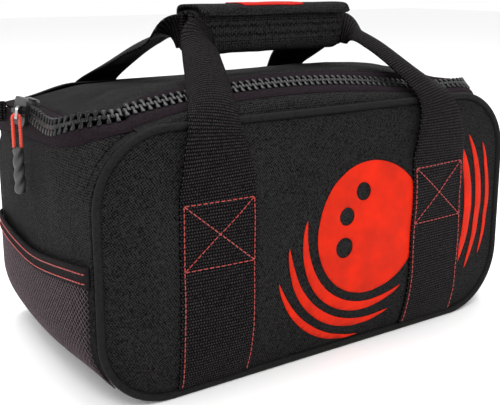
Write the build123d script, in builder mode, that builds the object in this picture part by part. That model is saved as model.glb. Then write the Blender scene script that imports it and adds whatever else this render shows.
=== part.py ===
"""A zip-top carry bag: a padded box of fabric with piped front and back panels,
a lid with a chunky moulded zip round three sides, two webbing handles held
together by a wrapped grip, and a mesh pocket on each end.

Millimetres. +X runs along the bag to its right end, the front faces -Y, +Z is up.
The origin is the middle of the base, on the surface that the bag stands on.
"""
import os
from math import cos, radians, sin, tau

from build123d import *

# Driving dimensions
LENGTH = 404.0
DEPTH = 228.0
HEIGHT = 208.0
CORNER = 58.0  # corner radius of the front and back panels
SHOULDER = 24.0  # top corner radius of the bag behind the panels
CROWN = 14.0  # how far the padded panels bulge
CROWN_INSET = 60.0  # where the bulge is full, in from the outline
PIPE_R = 3.0
RISE = 8.0  # how far the top climbs from the piping to the zip
WALL = 3.0  # fabric of the ends and base
SKIN = 2.5  # fabric of the front, back and lid
FOAM = 3.5
LINING = 0.8
GAP = 0.3

STRAP_W = 64.0
STRAP_T = 2.4
STRAP_X = 110.0  # centre of each handle leg
PIVOT_Y = 116.5  # where a handle leg leaves its panel
PIVOT_Z = 209.0

ZIP_FRONT_Y = -84.0
ZIP_FRONT_Z = 216.0
ZIP_END_X = 201.5
ZIP_CORNER = 38.0
ZIP_CORNER_Z = 206.0
ZIP_BACK_Y = 95.0
ZIP_BACK_Z = 200.0
TILT_FRONT = 30.0  # lean of the tape from level, along the front
TILT_END = 80.0  # and along the ends
TAPE_HALF = 14.5
TOOTH_PITCH = 6.0
TOOTH_REACH = 8.5  # from the middle of the chain to the back of a tooth
TOOTH_OVERLAP = 1.2  # how far a tooth crosses the middle of the chain
TOOTH_W = 2.6
TOOTH_H = 5.0
TEETH_BACK_Y = 76.0

RIM_Z = 185.4  # seam under the zip at the rear of each end
RIM_FRONT_Z = 192.6  # and at the front strip
STRIP_Y = 97.2  # free edge of the top strips
FOLD_Y = 96.8
FOLD_Z = 212.5
LID_FRONT_Y = -71.0
LID_FRONT_Z = 223.4
LID_HALF = 192.5
LID_DOME = 7.0
LID_INSET = 45.0
LID_CORNER = 33.0

GRIP_Y = -14.0
GRIP_LENGTH = 152.0
GRIP_WIDTH = 34.0
GRIP_BOTTOM = 245.5
GRIP_WALL = 3.5
BUNDLE_T = 7.0
BUNDLE_H = 29.0
BUNDLE_Z = 264.5
BUNDLE_OFF = 8.0  # each bundle's middle from the middle of the grip

POCKET_TOP = 100.0
POCKET_GAP = 7.0
POCKET_T = 1.2
BAND_H = 12.0

SLIDER_Y = 22.0
SLIDER_L = 30.0
SLIDER_W = 22.0

front_mid = DEPTH / 2 - PIPE_R  # the piping's middle, from the bag's middle
side_y = DEPTH / 2 - 2 * PIPE_R  # where the panels meet the ends
mid_z = HEIGHT / 2
parts = []


def keep(part, name):
    part.label = name
    parts.append(part)
    return part


def at_y(y):
    """The upright plane across the bag at that depth, seen from the front."""
    return Plane.XZ.offset(-y)


def outline(y, inset, top=CORNER, bottom=CORNER, rise=0.0):
    """The bag's rounded outline, inset, as a face at depth y."""
    with BuildSketch(at_y(y)) as face:
        with Locations((0, (HEIGHT + rise) / 2)):
            Rectangle(LENGTH - 2 * inset, HEIGHT + rise - 2 * inset)
        fillet(face.vertices().group_by(Axis.Y)[0], bottom)
        fillet(face.vertices().group_by(Axis.Y)[-1], top)
    return face.sketch


def crowned(steps):
    """A solid through outlines at (depth, inset), its corners tightening with the inset."""
    faces = []
    for y, inset in steps:
        radius = max(CORNER - inset, CORNER / 2)
        faces.append(outline(y, inset, radius, radius))
    with BuildPart() as solid:
        loft(sections=faces, ruled=True)
    return solid.part


def shell(outer, inner):
    """A padded front layer between two crowned solids, on the bag's front."""
    with BuildPart() as layer:
        add(crowned(outer))
        add(crowned(inner), mode=Mode.SUBTRACT)
    return layer.part


def both_faces(layer, name):
    """Keeps a front layer, and its mirror image on the back."""
    keep(layer, "front_" + name)
    keep(mirror(layer, about=Plane.XZ), "back_" + name)


def layer_steps(inset, depth, cut=0.0):
    """The steps of one surface of the front: inset from the outline, depth in from the skin."""
    return [
        (-side_y + cut, inset),
        (-side_y - 5 + depth * 0.8, inset),
        (-side_y - 5 - CROWN + depth, CROWN_INSET + depth * 0.8),
    ]


# Front and back panels, each a skin over foam
skin_steps = layer_steps(2 * PIPE_R, 0)
both_faces(shell(skin_steps, layer_steps(2 * PIPE_R + 4, SKIN, 1)), "panel")
both_faces(
    shell(layer_steps(2 * PIPE_R + 4, SKIN), layer_steps(2 * PIPE_R + 8, SKIN + 2.3, 1)),
    "foam",
)

# Piping round each panel
welt = outline(-front_mid, PIPE_R, CORNER - PIPE_R, CORNER - PIPE_R).face().outer_wire()
with BuildPart() as front_piping:
    with BuildSketch(Plane(welt @ 0, z_dir=welt % 0)):
        Circle(PIPE_R)
    sweep(path=welt)
both_faces(front_piping.part, "piping")


# The sleeve of fabric between the panels: ends, base and top strips
def sleeve(inset, ends):
    """A solid along the bag whose top is squarer and higher between the panels."""
    corner, shoulder = CORNER - inset, SHOULDER - inset
    stations = [
        (ends, corner, 0.0),
        (side_y, corner, 0.0),
        (-ZIP_FRONT_Y - 2, shoulder, RISE),
    ]
    faces = [outline(-y, inset, top, corner, rise) for y, top, rise in stations]
    faces += [outline(y, inset, top, corner, rise) for y, top, rise in reversed(stations)]
    with BuildPart() as solid:
        loft(sections=faces, ruled=True)
    return solid.part


def between(low, high):
    """A block between two corners, not joined to anything."""
    size = [b - a for a, b in zip(low, high)]
    middle = [(a + b) / 2 for a, b in zip(low, high)]
    return Pos(*middle) * Box(*size, mode=Mode.PRIVATE)


def cut_out(solid, low, high):
    """The part of a solid inside a block."""
    with BuildPart() as piece:
        add(solid)
        add(between(low, high), mode=Mode.INTERSECT)
    return piece.part


with BuildPart() as fabric_tube:
    add(sleeve(0, side_y + 1))
    add(sleeve(WALL, side_y + 2), mode=Mode.SUBTRACT)
    add(between((-300, -side_y, -10), (300, side_y, 300)), mode=Mode.INTERSECT)
seam_x = LENGTH / 2 - CORNER
tube = fabric_tube.part

# Everything above the seam under the zip
with BuildPart() as over_rim:
    with BuildSketch(Plane.YZ.offset(-300)):
        with BuildLine():
            Polyline(
                (-STRIP_Y, RIM_FRONT_Z), (STRIP_Y, RIM_Z), (200, RIM_Z), (200, 400), (-200, 400),
                (-200, RIM_FRONT_Z), close=True,
            )
        make_face()
    extrude(amount=600)

# The opening that the zip and lid fill
with BuildPart() as mouth:
    with BuildSketch(Plane.XY.offset(150)) as plan:
        Rectangle(2 * ZIP_END_X + 7, 2 * STRIP_Y)
        fillet(plan.vertices().group_by(Axis.Y)[0], ZIP_CORNER + 3)
    extrude(amount=200)

for side, name in ((-1, "left_end_panel"), (1, "right_end_panel")):
    low, high = sorted((side * seam_x, side * 300))
    with BuildPart() as end_panel:
        add(cut_out(tube, (low, -200, -10), (high, 200, 300)))
        add(over_rim.part, mode=Mode.SUBTRACT)
    keep(end_panel.part, name)
keep(cut_out(tube, (-seam_x, -200, -10), (seam_x, 200, CORNER)), "base_panel")
for low, high, name in ((-200, 0, "front_top_strip"), (0, 200, "rear_top_strip")):
    with BuildPart() as strip:
        add(cut_out(tube, (-300, low, 100), (300, high, 300)))
        add(over_rim.part, mode=Mode.INTERSECT)
        add(mouth.part, mode=Mode.SUBTRACT)
    keep(strip.part, name)

# Inside the tub: end foam, base board and lining
for side, name in ((-1, "left_end_foam"), (1, "right_end_foam")):
    x = side * (LENGTH / 2 - WALL - FOAM / 2 + 0.5)
    with BuildPart() as end_foam:
        with BuildSketch(Plane.YZ.offset(x)):
            with Locations((0, (CORNER + RIM_Z) / 2)):
                RectangleRounded(160, RIM_Z - CORNER - 2, 12)
        extrude(amount=(FOAM - 1) / 2, both=True)
    keep(end_foam.part, name)

BOARD_T = 3.0
with BuildPart() as base_board:
    with BuildSketch(Plane.XY.offset(WALL)):
        RectangleRounded(2 * seam_x, 2 * side_y - 8, 10)
    extrude(amount=BOARD_T)
keep(base_board.part, "base_board")

lining_inset = WALL + BOARD_T + GAP
lining_y = side_y - 2
with BuildPart() as lining:
    for inset, depth, mode in (
        (lining_inset, lining_y, Mode.ADD),
        (lining_inset + LINING, lining_y - LINING, Mode.SUBTRACT),
    ):
        with BuildSketch(at_y(-depth)):
            add(outline(0, inset, CORNER - inset, CORNER - inset).moved(Pos(0, -depth, 0)))
        extrude(amount=-2 * depth, mode=mode)
    add(between((-300, -300, RIM_Z - 3), (300, 300, 300)), mode=Mode.SUBTRACT)
keep(lining.part, "lining")


# The zip: its middle line runs up one end, along the front and down the other end
def zip_frame(s):
    """Middle point, outward direction and tape lean, at a distance s from the right rear end."""
    end_run = ZIP_BACK_Y - (ZIP_FRONT_Y + ZIP_CORNER)
    arc = ZIP_CORNER * tau / 4
    half_front = ZIP_END_X - ZIP_CORNER
    total = 2 * (end_run + arc + half_front)
    left = s > total / 2
    d = total - s if left else s
    if d <= end_run:
        share = d / end_run
        point = (ZIP_END_X, ZIP_BACK_Y - d, ZIP_BACK_Z + share * (ZIP_CORNER_Z - ZIP_BACK_Z))
        turn, lean = 0.0, TILT_END
    elif d <= end_run + arc:
        share = (d - end_run) / arc
        turn = 90 * share
        point = (
            half_front + ZIP_CORNER * cos(radians(turn)),
            ZIP_FRONT_Y + ZIP_CORNER - ZIP_CORNER * sin(radians(turn)),
            ZIP_CORNER_Z + share * (ZIP_FRONT_Z - ZIP_CORNER_Z),
        )
        lean = TILT_END + share * (TILT_FRONT - TILT_END)
    else:
        point = (half_front - (d - end_run - arc), ZIP_FRONT_Y, ZIP_FRONT_Z)
        turn, lean = 90.0, TILT_FRONT
    side = -1 if left else 1
    out = Vector(side * cos(radians(turn)), -sin(radians(turn)), 0)
    return Vector(side * point[0], point[1], point[2]), out, lean


end_run = ZIP_BACK_Y - (ZIP_FRONT_Y + ZIP_CORNER)
arc_run = ZIP_CORNER * tau / 4
zip_length = 2 * (end_run + arc_run + ZIP_END_X - ZIP_CORNER)


def zip_plane(s):
    """A plane at s with x across the tape towards the lid and z out of the tape."""
    point, out, lean = zip_frame(s)
    normal = out * sin(radians(lean)) + Vector(0, 0, cos(radians(lean)))
    across = out * -cos(radians(lean)) + Vector(0, 0, sin(radians(lean)))
    return Plane(point, x_dir=across, z_dir=normal)


def tape(low, high):
    """A strip of tape between two distances from the zip's middle, along its whole length."""
    arcs = [end_run + arc_run * k / 8 for k in range(9)]
    stations = [0.0] + arcs + [zip_length - s for s in reversed(arcs)] + [zip_length]
    faces = []
    for s in stations:
        frame = zip_plane(s)
        along = frame.y_dir
        middle = frame.from_local_coords(Vector((low + high) / 2, 0, 0))
        section = Plane(middle, x_dir=frame.x_dir, z_dir=along)
        with BuildSketch(section) as face:
            Rectangle(high - low, 1.0)
        faces.append(face.sketch)
    with BuildPart() as strip:
        loft(sections=faces, ruled=True)
    return strip.part


keep(tape(-TAPE_HALF, -TOOTH_REACH - 0.5), "zip_tape_body")
keep(tape(TOOTH_REACH + 0.5, TAPE_HALF), "zip_tape_lid")


def chain(side, start):
    """One side's teeth: -1 is the body's, 1 is the lid's."""
    first = ZIP_BACK_Y - TEETH_BACK_Y + start
    last = zip_length - (ZIP_BACK_Y - SLIDER_Y) + 3
    count = int((last - first) / TOOTH_PITCH)
    places = []
    for k in range(count):
        frame = zip_plane(first + k * TOOTH_PITCH)
        middle = side * (TOOTH_REACH - TOOTH_OVERLAP) / 2
        places.append(Plane(frame.from_local_coords(Vector(middle, 0, 0)), frame.x_dir, frame.z_dir))
    with BuildPart() as teeth:
        with Locations(*places):
            Box(TOOTH_REACH + TOOTH_OVERLAP, TOOTH_W, TOOTH_H)
    return teeth.part


keep(chain(-1, 0.0), "zip_chain_body")
keep(chain(1, TOOTH_PITCH / 2), "zip_chain_lid")

# Fabric tabs to hold at each end of the zip
for side, y, name in ((-1, 68.0, "zip_end_tab_left"), (1, 84.0, "zip_end_tab_right")):
    with BuildPart() as end_tab:
        with BuildSketch(Plane.XY.offset(190.0)):
            with Locations((side * (LENGTH / 2 + 10.5), y)):
                RectangleRounded(15, 4.0, 1.8)
        extrude(amount=16)
    keep(end_tab.part, name)


# The lid, on a plane that leans down to the fold at the back
lid_y = (LID_FRONT_Y + FOLD_Y) / 2 - 0.4
lid_slope = (FOLD_Z - LID_FRONT_Z) / (FOLD_Y - LID_FRONT_Y)
lid_depth = FOLD_Y - 0.8 - LID_FRONT_Y
lid_plane = Plane(
    (0, lid_y, (FOLD_Z + LID_FRONT_Z) / 2),
    x_dir=(1, 0, 0),
    z_dir=Vector(0, -lid_slope, 1).normalized(),
)


def lid_face(inset, height):
    """The lid's plan, inset at the front and sides, at a height over the lid's plane."""
    with BuildSketch(lid_plane.offset(height)) as face:
        with Locations((0, -inset * 0.1)):
            Rectangle(2 * (LID_HALF - inset), lid_depth - 1.2 * inset)
        fillet(face.vertices().group_by(Axis.Y)[0], max(LID_CORNER - inset * 0.3, 8.0))
        fillet(face.vertices().group_by(Axis.Y)[-1], 3.0)
    return face.sketch


def lid_layer(top, bottom):
    """A layer of the lid between two depths below its outer surface."""
    with BuildPart() as layer:
        for depth, mode in ((top, Mode.ADD), (bottom, Mode.SUBTRACT)):
            extra = 1.0 if mode == Mode.SUBTRACT else 0.0
            faces = [
                lid_face(depth * 0.9, -SKIN - FOAM - LINING - extra),
                lid_face(depth * 0.9, -depth * 0.5),
                lid_face(LID_INSET + depth * 0.3, LID_DOME - depth),
            ]
            if mode == Mode.SUBTRACT:
                loft(sections=faces, ruled=True, mode=Mode.SUBTRACT)
            else:
                loft(sections=faces, ruled=True)
    return layer.part


keep(lid_layer(0, SKIN), "lid_panel")
keep(lid_layer(SKIN, SKIN + FOAM), "lid_foam")
with BuildPart() as lid_lining:
    with BuildSketch(lid_plane.offset(-SKIN - FOAM - LINING - 0.1)):
        with Locations((0, -0.5)):
            RectangleRounded(2 * LID_HALF - 14, lid_depth - 12, 15)
    extrude(amount=-LINING)
keep(lid_lining.part, "lid_lining")


# Webbing sewn up each panel, over its bulge and over the piping
def sewn_strap(x):
    face_y = side_y + 5 + 0.6
    slope_top = HEIGHT - CROWN_INSET
    rise = CROWN
    with BuildPart() as strap:
        with BuildSketch(Plane.YZ.offset(x - STRAP_W / 2)) as side_face:
            with BuildLine():
                Polyline(
                    (-face_y, 2 * PIPE_R + 0.6),
                    (-face_y - rise, CROWN_INSET),
                    (-face_y - rise, slope_top),
                    (-face_y - 0.7, HEIGHT - 2 * PIPE_R - 1),
                    (-face_y - 0.7, PIVOT_Z - 3.2),
                    (-face_y - 0.7 - STRAP_T, PIVOT_Z - 3.2),
                    (-face_y - 0.7 - STRAP_T, HEIGHT - 2 * PIPE_R - 1),
                    (-face_y - rise - STRAP_T, slope_top),
                    (-face_y - rise - STRAP_T, CROWN_INSET),
                    (-face_y - STRAP_T, 2 * PIPE_R + 0.6),
                    close=True,
                )
            make_face()
        extrude(amount=STRAP_W)
    return strap.part


for x, name in ((-STRAP_X, "strap_left"), (STRAP_X, "strap_right")):
    both_faces(sewn_strap(x), name)


# The free loop of each handle
def handle_loop(facing, bar_y, name):
    """facing is -1 for the front handle and 1 for the back one; bar_y is its bundle's middle."""
    stations = [
        ((STRAP_X, PIVOT_Y - 1.6, PIVOT_Z + 2.4), (0, 0.55, 0.83), (1, 0, 0), STRAP_W, 2.8),
        ((STRAP_X - 3, PIVOT_Y - 19, 235.0), (0.1, 0.7, 0.7), (1, -0.1, 0), 46.0, 4.6),
        ((STRAP_X - 14, PIVOT_Y - 55, 257.0), (0.5, 0.8, 0.3), (0.75, -0.4, -0.35), 34.0, 6.6),
    ]
    faces = []
    for (x, y, z), way, wide, width, thick in stations:
        plane = Plane(
            (-x, facing * y, z),
            x_dir=Vector(-wide[0], facing * wide[1], wide[2]),
            z_dir=Vector(way[0], -facing * way[1], way[2]),
        )
        with BuildSketch(plane) as face:
            Rectangle(width, thick)
        faces.append(face.sketch)
    bar_end = Plane((-GRIP_LENGTH / 2 - 1, bar_y, BUNDLE_Z), x_dir=(0, 0, -1), z_dir=(1, 0, 0))
    with BuildSketch(bar_end) as face:
        Rectangle(BUNDLE_H, BUNDLE_T)
    faces.append(face.sketch)
    with BuildPart() as leg:
        loft(sections=faces, ruled=True)
    keep(leg.part, name + "_leg_left")
    keep(mirror(leg.part, about=Plane.YZ), name + "_leg_right")
    with BuildPart(Plane((0, bar_y, BUNDLE_Z))) as bundle:
        Box(GRIP_LENGTH + 2, BUNDLE_T, BUNDLE_H)
    keep(bundle.part, name + "_bundle")


handle_loop(-1, GRIP_Y - BUNDLE_OFF, "front_handle")
handle_loop(1, GRIP_Y + BUNDLE_OFF, "back_handle")

# The grip: a padded wrap round both bundles, closed on top by a flap
wrap_top = BUNDLE_Z + BUNDLE_H / 2 + 0.5
LIP_T = 2.4
HOOK_T = 0.6
FLAP_T = 3.0
grip_plane = Plane.YZ.offset(-GRIP_LENGTH / 2)
with BuildPart() as grip_wrap:
    with BuildSketch(grip_plane) as wrap_face:
        height = wrap_top + LIP_T - GRIP_BOTTOM
        with Locations((GRIP_Y, GRIP_BOTTOM + height / 2)):
            Rectangle(GRIP_WIDTH, height)
        fillet(wrap_face.vertices().group_by(Axis.Y)[0], 9)
        with Locations((GRIP_Y, (GRIP_BOTTOM + GRIP_WALL + wrap_top) / 2)):
            Rectangle(
                GRIP_WIDTH - 2 * GRIP_WALL,
                wrap_top - GRIP_BOTTOM - GRIP_WALL,
                mode=Mode.SUBTRACT,
            )
        with Locations((GRIP_Y + GRIP_WIDTH / 2 - GRIP_WALL, wrap_top + LIP_T / 2)):
            Rectangle(GRIP_WALL * 2, LIP_T + 1, mode=Mode.SUBTRACT)
    extrude(amount=GRIP_LENGTH)
keep(grip_wrap.part, "grip_wrap")


def grip_slab(name, width, depth, y, z, thickness, radius):
    with BuildPart() as slab:
        with BuildSketch(Plane.XY.offset(z)):
            with Locations((0, y)):
                RectangleRounded(width, depth, radius)
        extrude(amount=thickness)
    keep(slab.part, name)


lip_z = wrap_top + LIP_T
flap_z = lip_z + 2 * HOOK_T
grip_slab("loop_strip", GRIP_LENGTH - 14, 20, GRIP_Y - 4, lip_z, HOOK_T, 3)
grip_slab("hook_strip", GRIP_LENGTH - 14, 20, GRIP_Y - 4, lip_z + HOOK_T, HOOK_T, 3)
grip_slab("grip_flap", GRIP_LENGTH, GRIP_WIDTH + 2, GRIP_Y, flap_z, FLAP_T, 5)
grip_slab("grip_label", 62, 22, GRIP_Y, flap_z + FLAP_T, 0.6, 3)


# Mesh pocket on each end, open at the top, with a bound edge
def pocket_profile(gap, top):
    """The pocket's side view from the end panel out to a gap, up to a height."""
    x = LENGTH / 2
    low = (x - CORNER + CORNER * cos(radians(52)), CORNER - CORNER * sin(radians(52)))
    with BuildSketch(at_y(0)) as face:
        with BuildLine():
            Polyline((x - 2 * WALL, CORNER), (x - 2 * WALL, top), (x + gap, top), (x + gap, CORNER + 4))
            ThreePointArc((x + gap, CORNER + 4), (x + gap * 0.45 - 6, CORNER * 0.52), low)
            Line(low, (x - 2 * WALL, CORNER))
        make_face()
    return face.sketch


def pocket_block(gap, top, half_width):
    with BuildPart() as block:
        add(extrude(pocket_profile(gap, top), amount=half_width, both=True))
    return block.part


with BuildPart() as bag_body:
    add(sleeve(0, side_y + 30))
pocket_half = side_y - 3
with BuildPart() as right_mesh:
    add(pocket_block(POCKET_GAP + POCKET_T, POCKET_TOP, pocket_half))
    add(pocket_block(POCKET_GAP, POCKET_TOP + 20, pocket_half - POCKET_T), mode=Mode.SUBTRACT)
    add(bag_body.part, mode=Mode.SUBTRACT)
with BuildPart() as right_band:
    with BuildSketch(Plane.XY.offset(POCKET_TOP - BAND_H + 1.5)):
        with Locations((LENGTH / 2 + POCKET_GAP + POCKET_T + 0.9 + 0.05, 0)):
            Rectangle(1.8, 2 * pocket_half)
    extrude(amount=BAND_H)
for side, mesh, band in (
    ("right", right_mesh.part, right_band.part),
    ("left", mirror(right_mesh.part, about=Plane.YZ), mirror(right_band.part, about=Plane.YZ)),
):
    keep(mesh, side + "_pocket_mesh")
    keep(band, side + "_pocket_binding")


# Zip slider on the left end, with its tab and cord pull
slider_s = zip_length - (ZIP_BACK_Y - SLIDER_Y)
slider_frame = zip_plane(slider_s)  # x across towards the lid, y to the rear, z out
PLATE_T = 2.6
CHANNEL = TOOTH_H / 2 + 0.5  # from the chain's middle to each plate
with BuildPart() as slider:
    for z in (CHANNEL, -CHANNEL - PLATE_T):
        with BuildSketch(slider_frame.offset(z)):
            RectangleRounded(SLIDER_W, SLIDER_L, 5)
        extrude(amount=PLATE_T)
    for side in (-1, 1):
        for low in (1.0, -CHANNEL):
            with BuildSketch(slider_frame.offset(low)):
                with Locations((side * (SLIDER_W / 2 - 0.8), 0)):
                    Rectangle(1.4, SLIDER_L - 12)
            extrude(amount=CHANNEL - 1.0)
    with BuildSketch(slider_frame.offset(-CHANNEL)):
        with Locations((0, SLIDER_L / 2 - 3.2)):
            Rectangle(3.4, 4)
    extrude(amount=2 * CHANNEL)
keep(slider.part, "zip_slider")

# Its tab hooks under a bail and leans out, pointing to the front
PLATE_TOP = CHANNEL + PLATE_T
PIVOT_OUT = PLATE_TOP + 1.4
TAB_LEAN = 20.0
TAB_T = 1.8
TAB_W = 9.0
TAB_HOLE = 5.5
with BuildPart() as bail:
    for y in (-5.1, 5.1):
        with BuildSketch(slider_frame.offset(PLATE_TOP)):
            with Locations((0, y)):
                Rectangle(3.4, 1.8)
        extrude(amount=2.9)
    with BuildSketch(slider_frame.offset(PLATE_TOP + 2.9)):
        RectangleRounded(3.4, 12, 1.2)
    extrude(amount=1.8)
keep(bail.part, "slider_bail")

tab_way = slider_frame.y_dir * -cos(radians(TAB_LEAN)) + slider_frame.z_dir * sin(radians(TAB_LEAN))
tab_frame = Plane(
    slider_frame.from_local_coords(Vector(0, 0, PIVOT_OUT)),
    x_dir=tab_way,
    z_dir=tab_way.cross(slider_frame.x_dir),
)
with BuildPart() as tab:
    with BuildSketch(tab_frame.offset(-TAB_T / 2)):
        with Locations((10.6, 0)):
            RectangleRounded(23.2, TAB_W, 1.9)
        for x, length in ((4.3, 6.6), (17.2, 5.6)):
            with Locations((x, 0)):
                RectangleRounded(length, TAB_HOLE, 0.8, mode=Mode.SUBTRACT)
    extrude(amount=TAB_T)
keep(tab.part, "pull_tab")

# The cord loops over the lower bar of the tab's hole and hangs into a moulded grip
CORD_R = 1.3
CORD_BEND = 2.8
CORD_DROP = 23.0
TUBE_R = 4.6
TUBE_L = 37.0
lower = -1 if tab_frame.y_dir.Z > 0 else 1
hang = tab_frame.from_local_coords(Vector(17.2, lower * TAB_HOLE / 2, 0))
level = Vector(tab_way.X, tab_way.Y, 0).normalized()
loop_plane = Plane(
    hang + Vector(0, 0, CORD_R - CORD_BEND + 0.4),
    x_dir=level.cross(Vector(0, 0, 1)),
    z_dir=level * -1,
)
with BuildPart() as pull_cord:
    with BuildLine(loop_plane) as loop_line:
        Line((-CORD_BEND, -CORD_DROP), (-CORD_BEND, 0))
        ThreePointArc((-CORD_BEND, 0), (0, CORD_BEND), (CORD_BEND, 0))
        Line((CORD_BEND, 0), (CORD_BEND, -CORD_DROP))
    end = loop_plane.from_local_coords(Vector(-CORD_BEND, -CORD_DROP, 0))
    with BuildSketch(Plane(end, x_dir=level, z_dir=(0, 0, 1))):
        Circle(CORD_R)
    sweep(path=loop_line.wire())
keep(pull_cord.part, "pull_cord")
tube_top = loop_plane.from_local_coords(Vector(0, -CORD_DROP, 0))
with BuildPart() as tube_grip:
    with BuildSketch(Plane(tube_top)):
        Circle(TUBE_R)
    extrude(amount=-TUBE_L)
    fillet(tube_grip.edges().filter_by(GeomType.CIRCLE), 1.6)
keep(tube_grip.part, "pull_grip")

# Printed film on the front: a ball with three finger holes, and arcs that trail round it
FILM_T = 0.35
BALL_X, BALL_Z, BALL_R = 34.0, 106.0, 56.0
with BuildPart() as film:
    add(crowned(layer_steps(2 * PIPE_R, -FILM_T - 0.05)))
    add(crowned(layer_steps(2 * PIPE_R, -0.05)), mode=Mode.SUBTRACT)
    with BuildSketch(Plane.XZ) as artwork:
        with Locations((BALL_X, BALL_Z)):
            Circle(BALL_R)
        with Locations((BALL_X - 27, BALL_Z + 14), (BALL_X - 9, BALL_Z + 32), (BALL_X - 29, BALL_Z - 12)):
            Circle(7, mode=Mode.SUBTRACT)
        for radius, width, start, size in (
            (BALL_R + 13, 8, 178, 112),
            (BALL_R + 27, 6, 192, 84),
            (BALL_R + 62, 8, -24, 48),
            (BALL_R + 77, 6, -16, 32),
        ):
            with BuildLine():
                CenterArc((BALL_X, BALL_Z), radius, start, size)
            trace(line_width=width)
    extrude(amount=200, mode=Mode.INTERSECT)
keep(film.part, "front_print")

os.makedirs("parts", exist_ok=True)
for part in parts:
    export_step(part, "parts/" + part.label + ".step")
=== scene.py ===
"""The look of a padded zip-top bag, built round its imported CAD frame.

Shapes are worked out in millimetres in the frame's own axes: X along the bag,
the front faces -Y, Z is up. mesh_piece() turns them into metres.
"""

from math import atan2, cos, pi, radians, sin, sqrt, tau

import bmesh
import bpy
import numpy as np
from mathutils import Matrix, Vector, noise
from mathutils.geometry import delaunay_2d_cdt


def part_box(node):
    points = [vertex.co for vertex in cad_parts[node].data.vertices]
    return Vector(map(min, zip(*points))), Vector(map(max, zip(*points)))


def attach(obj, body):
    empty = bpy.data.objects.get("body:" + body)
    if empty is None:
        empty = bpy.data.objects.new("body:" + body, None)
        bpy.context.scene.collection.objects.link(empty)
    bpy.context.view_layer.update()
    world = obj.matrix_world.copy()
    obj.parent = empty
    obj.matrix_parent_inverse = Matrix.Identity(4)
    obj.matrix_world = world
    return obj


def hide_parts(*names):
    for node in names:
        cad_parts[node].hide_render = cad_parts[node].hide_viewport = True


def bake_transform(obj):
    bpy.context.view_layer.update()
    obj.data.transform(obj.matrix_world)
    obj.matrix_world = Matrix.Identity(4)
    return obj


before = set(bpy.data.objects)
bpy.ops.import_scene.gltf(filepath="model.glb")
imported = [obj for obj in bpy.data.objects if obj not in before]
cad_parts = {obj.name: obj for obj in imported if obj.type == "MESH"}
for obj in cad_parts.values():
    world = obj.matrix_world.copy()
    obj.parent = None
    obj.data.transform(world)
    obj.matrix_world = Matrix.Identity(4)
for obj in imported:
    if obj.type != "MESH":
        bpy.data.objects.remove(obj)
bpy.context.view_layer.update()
MM = 0.001


def mm_box(node):
    return [[v / MM for v in corner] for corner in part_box(node)]


# Sizes read from the frame
(_, PIPE_FRONT, _), (HALF, SEAM_Y, HEIGHT) = mm_box("front_piping")
PANEL_INSET = SEAM_Y - PIPE_FRONT  # the piping's thickness
CORNER = 58.0
MID_Z = HEIGHT / 2
FOLD_Y, FOLD_Z = mm_box("rear_top_strip")[0][1], 212.2
STRAP_LOW, STRAP_HIGH = mm_box("front_strap_right")
STRAP_X = (STRAP_LOW[0] + STRAP_HIGH[0]) / 2
STRAP_W = STRAP_HIGH[0] - STRAP_LOW[0]
WRAP_LOW, WRAP_HIGH = mm_box("grip_wrap")
CROWN = -mm_box("front_panel")[0][1] + SEAM_Y - 2  # how far the front's middle stands out


# ---------------------------------------------------------------- small maths
def ease(low, high, value):
    """0 below low, 1 above high, and a smooth step between."""
    t = np.clip((value - low) / (high - low), 0, 1)
    return t * t * (3 - 2 * t)


def ripple(x, y, z):
    """Smooth noise from -1 to 1 at a place."""
    return noise.noise(Vector((x, y, z)))


def rumple(points, size, seed):
    """Smooth noise from -1 to 1 at each point, of about that size in mm."""
    shift = Vector((seed * 17.3, seed * 5.1, seed * 9.7))
    return np.array([noise.noise(Vector(p) / size + shift) for p in points])


def gauge(x, z, a, b, r):
    """How far out a point is in a rounded rectangle: 0 in the middle, 1 on the outline."""
    x, z = abs(x), abs(z)
    s = max(x / a, z / b)
    p, q = a - r, b - r
    if x > p * s and z > q * s:
        first, second, third = p * p + q * q - r * r, x * p + z * q, x * x + z * z
        s = (second - sqrt(max(second * second - first * third, 0))) / first
    return s


def catmull(stations, count):
    """Points on a smooth curve through rows of numbers, evenly spread between the rows."""
    rows = np.array(stations, float)
    rows = np.vstack([2 * rows[0] - rows[1], rows, 2 * rows[-1] - rows[-2]])
    out = []
    spans = len(stations) - 1
    for k in range(count + 1):
        place = min(k / count * spans, spans - 1e-9)
        i, t = int(place), place - int(place)
        a, b, c, d = rows[i : i + 4]
        out.append(
            0.5 * (2 * b + (c - a) * t + (2 * a - 5 * b + 4 * c - d) * t**2 + (3 * b - a - 3 * c + d) * t**3)
        )
    return np.array(out)


# ---------------------------------------------------------------- mesh helpers
def new_object(name, data):
    obj = bpy.data.objects.new(name, data)
    bpy.context.collection.objects.link(obj)
    return obj


def coat(obj, material):
    obj.data.materials.clear()
    obj.data.materials.append(material)


def smooth(obj):
    obj.data.polygons.foreach_set("use_smooth", [True] * len(obj.data.polygons))


def bevel(obj, width, segments):
    made = obj.modifiers.new("edges", "BEVEL")
    made.width = width * MM
    made.segments = segments
    made.limit_method = "ANGLE"


def mesh_piece(name, points, faces, uvs, material, rounded=True):
    """A mesh object from points in mm, with a UV per point in mm."""
    mesh = bpy.data.meshes.new(name)
    mesh.from_pydata([tuple(float(v) * MM for v in p) for p in points], [], faces)
    if uvs is not None:
        layer = mesh.uv_layers.new(name="weave")
        index = np.empty(len(mesh.loops), int)
        mesh.loops.foreach_get("vertex_index", index)
        layer.data.foreach_set("uv", (np.array(uvs, float)[index] * MM).ravel())
    mesh.polygons.foreach_set("use_smooth", [rounded] * len(mesh.polygons))
    mesh.update()
    mesh.materials.append(material)
    return new_object(name, mesh)


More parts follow.
